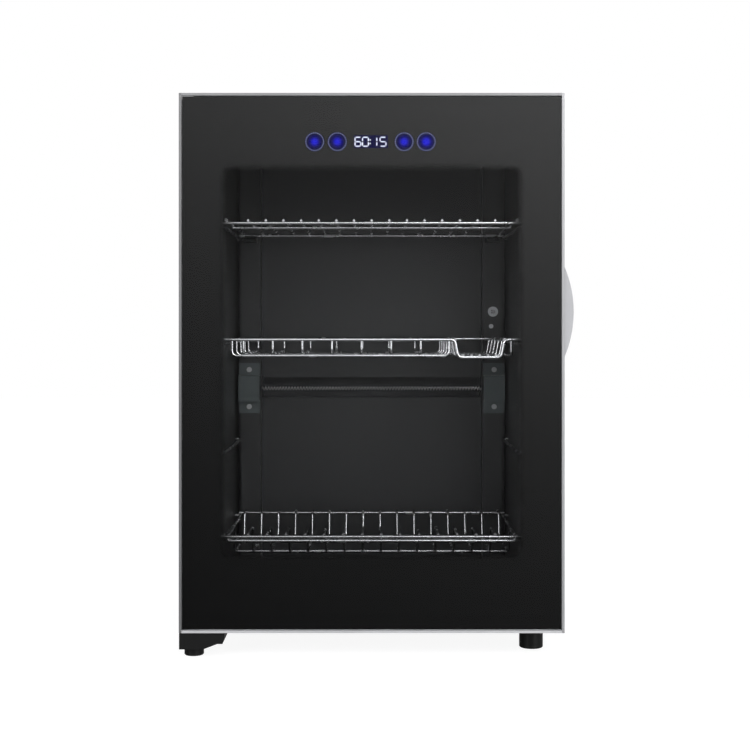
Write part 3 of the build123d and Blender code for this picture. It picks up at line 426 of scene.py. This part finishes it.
def printed():
    """Black ink whose alpha fades across the window's rounded edge."""
    grain_in_gloss = 0.06
    shader = Shader("black_print")
    x, _, z = shader.axes(shader.place)
    across = (x - door_middle).maths("ABSOLUTE") - (window_half - window_corner)
    along = (z - (window_bottom + window_top) / 2).maths("ABSOLUTE")
    along = along - ((window_top - window_bottom) / 2 - window_corner)
    outer = across.larger(0.0)
    upper = along.larger(0.0)
    corner = (outer * outer + upper * upper).maths("SQRT")
    distance = corner + across.larger(along).smaller(0.0) - window_corner
    grain = shader.noise(scale=160.0, detail=2.0)
    shader.set(
        Base_Color=shader.tint(grain, grey(0.0012), grey(0.002)),
        Roughness=0.05 + grain * grain_in_gloss,
        Alpha=shader.ramp(distance, -fade_inside, fade_outside),
        Specular_IOR_Level=0.38,
    )
    return shader.material


def window_corners(inset):
    """The four rounded corners of the window, each a quarter turn, drawn in by the inset."""
    across = window_half - inset - window_corner
    low, high = window_bottom + inset + window_corner, window_top - inset - window_corner
    centres = (across, high), (-across, high), (-across, low), (across, low)
    corners = []
    for quarter, (side, height) in enumerate(centres):
        turns = [pi / 2 * (quarter + step / corner_steps) for step in range(corner_steps + 1)]
        corners.append([
            (door_middle + side + window_corner * cos(turn), height + window_corner * sin(turn))
            for turn in turns
        ])
    return corners


def print_film():
    """Faces from the film's four outer corners to the rounded corners of its open middle."""
    mesh = bmesh.new()
    outer = [
        mesh.verts.new((x, mask_low[1], z))
        for x, z in ((mask_high[0], mask_high[2]), (mask_low[0], mask_high[2]),
                     (mask_low[0], mask_low[2]), (mask_high[0], mask_low[2]))
    ]
    inner = [
        [mesh.verts.new((x, mask_low[1], z)) for x, z in corner]
        for corner in window_corners(fade_inside)
    ]
    for place, corner in enumerate(inner):
        for first, second in zip(corner, corner[1:]):
            mesh.faces.new((outer[place], first, second))
        after = (place + 1) % len(inner)
        mesh.faces.new((outer[place], corner[-1], inner[after][0], outer[after]))
    thicken(mesh, list(mesh.faces), mask_high[1] - mask_low[1])
    return finished("door_print", mesh)


film = print_film()
film.data.materials.append(printed())
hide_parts("door_mask")
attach(film, "door")

# ------------------------------------------------------------------------------------------------
# Touch keys: four round light guides with a blue core and a ring of small lit dots. They do not
# travel. Guides and dots are thin sheets one before the other in the bond line behind the glass.
# ------------------------------------------------------------------------------------------------

key_low, key_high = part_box("key_lights")
key_height = (key_low[2] + key_high[2]) / 2
key_places = [door_middle + offset for offset in (-0.0667, -0.0402, 0.0380, 0.0638)]
key_powers = (0.8, 0.8, 0.85, 1.0)
core_rim, core_middle = 0.0064, 0.001
halo_rim, halo_middle, halo_share = 0.0114, 0.003, 0.28
key_segments = 64
ring_radius = 0.0103
ring_dot_radius = 0.00055
ring_dot_count = 26
ring_dot_segments = 10
guide_lift, dot_lift, sheet_gap = 0.00002, 0.00003, 0.000003


def key_glow():
    """A blue lit core that fades out into its halo, brightest at the right-hand key."""
    shader = Shader("key_glow")
    x, _, z = shader.axes(shader.place)
    rise = z - key_height
    total = None
    for place, power in zip(key_places, key_powers):
        side = x - place
        radius = (side * side + rise * rise).maths("SQRT")
        core = shader.ramp(radius, core_rim, core_middle)
        halo = shader.ramp(radius, halo_rim, halo_middle) * halo_share
        lit_key = (core + halo) * power
        total = lit_key if total is None else total + lit_key
    shader.set(
        Base_Color=(0.002, 0.002, 0.003, 1.0),
        Roughness=0.4,
        Specular_IOR_Level=0.0,
        Emission_Color=shader.tint(total.clamped(), (0.0005, 0.0005, 0.006), (0.012, 0.012, 0.62)),
        Emission_Strength=1.0,
    )
    return shader.material


def lit(name, colour, strength):
    """An even light, a little clouded."""
    dimmest = 0.85
    shader = Shader(name)
    cloud = shader.noise(scale=800.0, detail=1.0)
    shader.set(
        Base_Color=(0.0, 0.0, 0.0, 1.0),
        Emission_Color=shader.tint(cloud, tuple(part * dimmest for part in colour), colour),
        Emission_Strength=strength,
    )
    return shader.material


def disc(mesh, x, z, radius, front, back, segments):
    """A thin round plate that faces the front."""
    bmesh.ops.create_cone(
        mesh, cap_ends=True, segments=segments, radius1=radius, radius2=radius, depth=back - front,
        matrix=Matrix.Translation((x, (front + back) / 2, z)) @ Matrix.Rotation(pi / 2, 4, "X"),
    )


def key_guides():
    """Front sheets of the light guides, just in front of the print."""
    mesh = bmesh.new()
    radius = (key_high[2] - key_low[2]) / 2
    for place in key_places:
        disc(mesh, place, key_height, radius, key_low[1] - guide_lift, key_high[1], key_segments)
    return finished("key_light_guides", mesh)


def ring_dots():
    """The round dots of each key's ring."""
    mesh = bmesh.new()
    front, back = key_low[1] - dot_lift, key_low[1] - guide_lift - sheet_gap
    for place in key_places:
        for count in range(ring_dot_count):
            turn = 2 * pi * count / ring_dot_count
            x, z = place + ring_radius * cos(turn), key_height + ring_radius * sin(turn)
            disc(mesh, x, z, ring_dot_radius, front, back, ring_dot_segments)
    return finished("key_ring_dots", mesh)


guides = key_guides()
guides.data.materials.append(key_glow())
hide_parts("key_lights")
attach(guides, "door")

dots = ring_dots()
dots.data.materials.append(lit("dot_light", colour=(0.42, 0.46, 0.9), strength=1.0))
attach(dots, "door")

# ------------------------------------------------------------------------------------------------
# Display: a dark window with four seven-segment digits and a colon, lit white-blue. Window and
# digits are thin sheets one before the other on the module, in the bond line behind the glass.
# ------------------------------------------------------------------------------------------------

display_low, display_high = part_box("display_module")
digit_height = 0.0104
digit_width = 0.0068
digit_places = (-0.0185, -0.0097, 0.0002, 0.0108)
colon_place = -0.0008
colon_radius = 0.0008
colon_heights = (0.3, 0.7)
colon_segments = 20
segment_width = 0.0014
segment_end_gap = 0.25
lit_segments = {"6": "acdefg", "0": "abcdef", "1": "bc", "5": "acdfg"}
segment_places = {
    "a": ((0, 1), (1, 1)), "b": ((1, 1), (1, 0.5)), "c": ((1, 0.5), (1, 0)), "d": ((0, 0), (1, 0)),
    "e": ((0, 0), (0, 0.5)), "f": ((0, 0.5), (0, 1)), "g": ((0, 0.5), (1, 0.5)),
}


def display_face():
    """Near-black window with a faint blue cast."""
    shader = Shader("display_face")
    grain = shader.noise(scale=900.0, detail=2.0)
    shader.set(
        Base_Color=(0.002, 0.002, 0.004, 1.0),
        Roughness=0.35,
        Specular_IOR_Level=0.0,
        Emission_Color=shader.tint(grain, (0.002, 0.002, 0.03), (0.004, 0.004, 0.05)),
        Emission_Strength=1.0,
    )
    return shader.material


def display_window():
    """The display's front as a thin sheet over the module."""
    mesh = bmesh.new()
    low = Vector((display_low[0], display_low[1] - guide_lift, display_low[2]))
    high = Vector((display_high[0], display_low[1] - guide_lift / 2, display_high[2]))
    size = Matrix.Diagonal((*(high - low), 1.0))
    bmesh.ops.create_cube(mesh, size=1.0, matrix=Matrix.Translation((low + high) / 2) @ size)
    return finished("display_window", mesh)


def add_segment(mesh, start, end, back):
    """One lit bar with pointed ends, as a thin closed sheet."""
    way = (end - start).normalized()
    point = way * segment_width / 2
    side = Vector((-way.y, way.x)) * segment_width / 2
    first = start + way * segment_width * segment_end_gap
    last = end - way * segment_width * segment_end_gap
    outline = (
        first, first + point + side, last - point + side,
        last, last - point - side, first + point - side,
    )
    face = mesh.faces.new([mesh.verts.new((corner.x, back, corner.y)) for corner in outline])
    thicken(mesh, [face], guide_lift - dot_lift)


def display_digits():
    """The lit bars of the four digits and the two dots of the colon."""
    mesh = bmesh.new()
    middle = (display_low[0] + display_high[0]) / 2
    base = key_height - digit_height / 2
    back = display_low[1] - guide_lift - sheet_gap
    for offset, figure in zip(digit_places, "6015"):
        left = middle + offset
        for name in lit_segments[figure]:
            start, end = (
                Vector((left + across * digit_width, base + up * digit_height))
                for across, up in segment_places[name]
            )
            add_segment(mesh, start, end, back)
    for share in colon_heights:
        height = base + share * digit_height
        front = back - (dot_lift - guide_lift)
        disc(mesh, middle + colon_place, height, colon_radius, front, back, colon_segments)
    return finished("display_digits", mesh)


digits = display_digits()
digits.data.materials.append(lit("digit_light", colour=(0.8, 0.83, 1.0), strength=1.15))
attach(digits, "door")

face = display_face()
dress(face, "display_module")
window = display_window()
window.data.materials.append(face)
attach(window, "door")

# ------------------------------------------------------------------------------------------------
# Handle: a crescent grip of light grey moulding on the door's right edge, open at the back. It is
# fixed to the frame's right profile.
# ------------------------------------------------------------------------------------------------

grip = coated("grip_grey", dark=grey(0.37), light=grey(0.44), rough=0.45, grain=900.0, bump=0.2)
dress(grip, "door_handle")
soften("door_handle", width=0.0009, segments=3)

# ------------------------------------------------------------------------------------------------
# Stage: pale floor, soft lights and the camera, square to the door at the photograph's height.
# The world is white behind the object, a soft grey room as light, and darker low down in mirrors.
# ------------------------------------------------------------------------------------------------

door_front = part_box("door_frame_right")[0][1]
eye_distance = 1.6
eye_height = 0.382
view_width_at_door = 0.8745
sensor = 36.0
image_size = 750.0
principal = (371.7, 331.3)
floor_size = 6.0
floor_white_share, floor_white_strength = 0.75, 1.22
room_tint, room_strength = (0.9, 0.93, 1.0, 1.0), 0.42
white = (1.0, 1.0, 1.0, 1.0)
mirror_rise, mirror_curve = (-0.3, 0.2), 2.0
mirror_low, mirror_high = 0.14, 1.22
mirror_slant = (-0.2, 0.2)
mirror_left, mirror_right = 0.6, 1.4
pane_faces_crossed = 32


def camera():
    """A camera square to the door, shifted to the photograph's principal point."""
    data = bpy.data.cameras.new("camera")
    data.sensor_width = sensor
    data.lens = sensor * eye_distance / view_width_at_door
    data.shift_x = (image_size / 2 - principal[0]) / image_size
    data.shift_y = -(image_size / 2 - principal[1]) / image_size
    made = bpy.data.objects.new("camera", data)
    made.location = (door_middle, door_front - eye_distance, eye_height)
    made.rotation_euler = (pi / 2, 0, 0)
    bpy.context.scene.collection.objects.link(made)
    bpy.context.scene.camera = made


def floor():
    """Pale paint that the camera sees as nearly white. Mirrors do not see it."""
    mesh = bmesh.new()
    bmesh.ops.create_grid(mesh, x_segments=1, y_segments=1, size=floor_size)
    made = finished("floor", mesh)
    shader = Shader("floor_paint")
    cloud = shader.noise(scale=1.5, detail=2.0)
    shader.set(Base_Color=shader.tint(cloud, grey(0.8), grey(0.83)), Roughness=0.8)
    seen = shader.node("LightPath", output="Is Camera Ray") * floor_white_share
    glow = shader.node("Emission", inputs={"Strength": floor_white_strength})
    shader.show(shader.mixed(seen, shader.surface, glow))
    made.data.materials.append(shader.material)
    made.visible_glossy = False


def area_light(name, place, target, size, power):
    """A rectangular soft light that points at its target."""
    data = bpy.data.lights.new(name, "AREA")
    data.shape = "RECTANGLE"
    data.size, data.size_y = size
    data.energy = power
    made = bpy.data.objects.new(name, data)
    made.location = place
    made.rotation_euler = (Vector(target) - Vector(place)).to_track_quat("-Z", "Y").to_euler()
    bpy.context.scene.collection.objects.link(made)


def world():
    """One strength for the camera, one for the light, and a gradient by direction for mirrors."""
    made = bpy.data.worlds.new("room")
    bpy.context.scene.world = made
    made.use_nodes = True
    room = Nodes(made.node_tree)
    x, _, z = room.axes(room.node("TexCoord", output="Generated"))
    rise = room.node("MapRange", inputs={"Value": z, "From Min": mirror_rise[0], "From Max": mirror_rise[1]})
    upwards = room.node(
        "MapRange",
        inputs={"Value": rise.maths("POWER", mirror_curve), "To Min": mirror_low, "To Max": mirror_high},
    )
    sideways = room.node(
        "MapRange",
        inputs={"Value": x, "From Min": mirror_slant[0], "From Max": mirror_slant[1],
                "To Min": mirror_left, "To Max": mirror_right},
    )
    mirrored = room.node("Background", inputs={"Color": white, "Strength": upwards * sideways})
    light = room.node("Background", inputs={"Color": room_tint, "Strength": room_strength})
    behind = room.node("Background", inputs={"Color": white, "Strength": 1.0})
    unseen = room.mixed(room.node("LightPath", output="Is Glossy Ray"), light, mirrored)
    shown = room.mixed(room.node("LightPath", output="Is Camera Ray"), unseen, behind)
    room.feed(room.tree.nodes.new("ShaderNodeOutputWorld").inputs["Surface"], shown)


camera()
floor()
world()
area_light("key", place=(0.9, -2.4, 1.9), target=(0.0, 0.0, 0.35), size=(1.4, 1.0), power=26.0)
area_light("fill", place=(-1.5, -2.0, 1.3), target=(0.0, 0.0, 0.3), size=(1.2, 1.2), power=14.0)
area_light("side_right", place=(1.5, -1.9, 0.6), target=(0.0, 0.15, 0.35), size=(1.2, 1.7), power=17.0)
area_light("side_left", place=(-1.5, -1.9, 0.6), target=(0.0, 0.15, 0.35), size=(1.2, 1.7), power=13.0)
bpy.context.scene.view_settings.view_transform = "Standard"
bpy.context.scene.cycles.transparent_max_bounces = pane_faces_crossed
